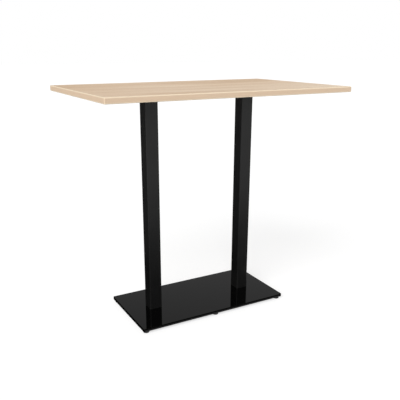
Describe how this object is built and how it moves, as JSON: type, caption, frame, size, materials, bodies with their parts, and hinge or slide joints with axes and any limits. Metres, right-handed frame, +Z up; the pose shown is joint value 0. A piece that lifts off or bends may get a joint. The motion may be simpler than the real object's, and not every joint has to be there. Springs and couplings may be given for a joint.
{
  "type": "high table",
  "caption": "Standing-height table: a rectangular light oak top on square black columns and a flat black foot plate with levelling glides.",
  "frame": {"origin": "on the floor under the middle of the table, level with the soles of the glides", "axes": "+X along the table from left to right, +Y from front to back, +Z up"},
  "size_m": [1.2, 0.75, 1.105],
  "materials": {
    "oak_board": "satin",
    "oak_edging": "satin",
    "black_column": "satin",
    "black_gloss_plate": "gloss",
    "black_top_plate": "matte",
    "bare_steel": "satin",
    "zinc_steel": "satin",
    "black_nylon": "matte"
  },
  "bodies": {
    "table": {"table_board": "oak_board", "foot_plate": "black_gloss_plate", "front_edging": "oak_edging", "back_edging": "oak_edging", "left_edging": "oak_edging", "right_edging": "oak_edging", "left_column": "black_column", "left_foot_block": "bare_steel", "left_head_block": "bare_steel", "left_top_plate": "black_top_plate", "left_foot_screws": "zinc_steel", "left_head_screws": "zinc_steel", "left_board_screws": "zinc_steel", "right_column": "black_column", "right_foot_block": "bare_steel", "right_head_block": "bare_steel", "right_top_plate": "black_top_plate", "right_foot_screws": "zinc_steel", "right_head_screws": "zinc_steel", "right_board_screws": "zinc_steel"},
    "front_left_glide_pad": {"front_left_glide_pad": "black_nylon"},
    "front_left_glide_stud": {"front_left_glide_stud": "zinc_steel"},
    "front_middle_glide_pad": {"front_middle_glide_pad": "black_nylon"},
    "front_middle_glide_stud": {"front_middle_glide_stud": "zinc_steel"},
    "front_right_glide_pad": {"front_right_glide_pad": "black_nylon"},
    "front_right_glide_stud": {"front_right_glide_stud": "zinc_steel"},
    "back_left_glide_pad": {"back_left_glide_pad": "black_nylon"},
    "back_left_glide_stud": {"back_left_glide_stud": "zinc_steel"},
    "back_middle_glide_pad": {"back_middle_glide_pad": "black_nylon"},
    "back_middle_glide_stud": {"back_middle_glide_stud": "zinc_steel"},
    "back_right_glide_pad": {"back_right_glide_pad": "black_nylon"},
    "back_right_glide_stud": {"back_right_glide_stud": "zinc_steel"}
  },
  "joints": [
    {"name": "front_left_glide_height", "type": "slide", "parent": "table", "child": "front_left_glide_pad", "axis": [0, 0, -1], "range_m": [0, 0.005]},
    {"name": "front_left_glide_turn", "type": "hinge", "parent": "front_left_glide_pad", "child": "front_left_glide_stud", "pos_m": [-0.379, -0.179, 0.012], "axis": [0, 0, -1], "range_deg": [0, 1440]},
    {"name": "front_middle_glide_height", "type": "slide", "parent": "table", "child": "front_middle_glide_pad", "axis": [0, 0, -1], "range_m": [0, 0.005]},
    {"name": "front_middle_glide_turn", "type": "hinge", "parent": "front_middle_glide_pad", "child": "front_middle_glide_stud", "pos_m": [0, -0.179, 0.012], "axis": [0, 0, -1], "range_deg": [0, 1440]},
    {"name": "front_right_glide_height", "type": "slide", "parent": "table", "child": "front_right_glide_pad", "axis": [0, 0, -1], "range_m": [0, 0.005]},
    {"name": "front_right_glide_turn", "type": "hinge", "parent": "front_right_glide_pad", "child": "front_right_glide_stud", "pos_m": [0.379, -0.179, 0.012], "axis": [0, 0, -1], "range_deg": [0, 1440]},
    {"name": "back_left_glide_height", "type": "slide", "parent": "table", "child": "back_left_glide_pad", "axis": [0, 0, -1], "range_m": [0, 0.005]},
    {"name": "back_left_glide_turn", "type": "hinge", "parent": "back_left_glide_pad", "child": "back_left_glide_stud", "pos_m": [-0.379, 0.179, 0.012], "axis": [0, 0, -1], "range_deg": [0, 1440]},
    {"name": "back_middle_glide_height", "type": "slide", "parent": "table", "child": "back_middle_glide_pad", "axis": [0, 0, -1], "range_m": [0, 0.005]},
    {"name": "back_middle_glide_turn", "type": "hinge", "parent": "back_middle_glide_pad", "child": "back_middle_glide_stud", "pos_m": [0, 0.179, 0.012], "axis": [0, 0, -1], "range_deg": [0, 1440]},
    {"name": "back_right_glide_height", "type": "slide", "parent": "table", "child": "back_right_glide_pad", "axis": [0, 0, -1], "range_m": [0, 0.005]},
    {"name": "back_right_glide_turn", "type": "hinge", "parent": "back_right_glide_pad", "child": "back_right_glide_stud", "pos_m": [0.379, 0.179, 0.012], "axis": [0, 0, -1], "range_deg": [0, 1440]}
  ],
  "couplings": [
    {"joint": "front_left_glide_turn", "follows": "front_left_glide_height", "rad_per_m": 5026.5},
    {"joint": "front_middle_glide_turn", "follows": "front_middle_glide_height", "rad_per_m": 5026.5},
    {"joint": "front_right_glide_turn", "follows": "front_right_glide_height", "rad_per_m": 5026.5},
    {"joint": "back_left_glide_turn", "follows": "back_left_glide_height", "rad_per_m": 5026.5},
    {"joint": "back_middle_glide_turn", "follows": "back_middle_glide_height", "rad_per_m": 5026.5},
    {"joint": "back_right_glide_turn", "follows": "back_right_glide_height", "rad_per_m": 5026.5}
  ]
}
